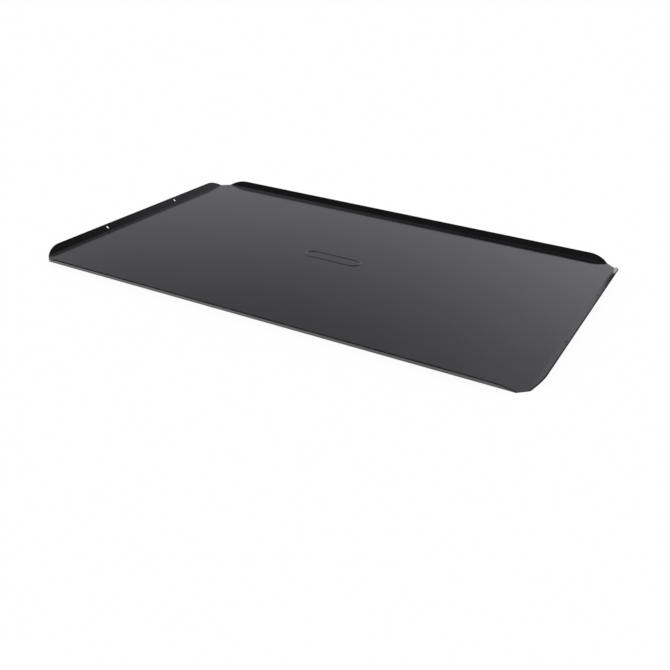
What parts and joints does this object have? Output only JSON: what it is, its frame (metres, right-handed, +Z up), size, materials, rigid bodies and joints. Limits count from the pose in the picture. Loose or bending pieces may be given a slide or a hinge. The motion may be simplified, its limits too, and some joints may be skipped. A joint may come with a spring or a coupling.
{
  "type": "cookie sheet",
  "caption": "Flat oblong cookie sheet with low outward-leaning flanges, cut corners and small hanging holes in its short sides, coated dark all over.",
  "frame": {"origin": "middle of the underside of the flat, which the sheet rests on", "axes": "+Z up, out of the baking face; +X along the long edges; +Y across to the back long flange"},
  "size_m": [0.6, 0.4, 0.0088],
  "materials": {
    "sheet_metal": "rolled sheet, hidden under the coats",
    "upper_coat": "satin black non-stick film",
    "underside_coat": "satin black non-stick film"
  },
  "bodies": {
    "root": {"metal_sheet": "sheet_metal", "upper_nonstick_coat": "upper_coat", "underside_nonstick_coat": "underside_coat"}
  },
  "joints": []
}
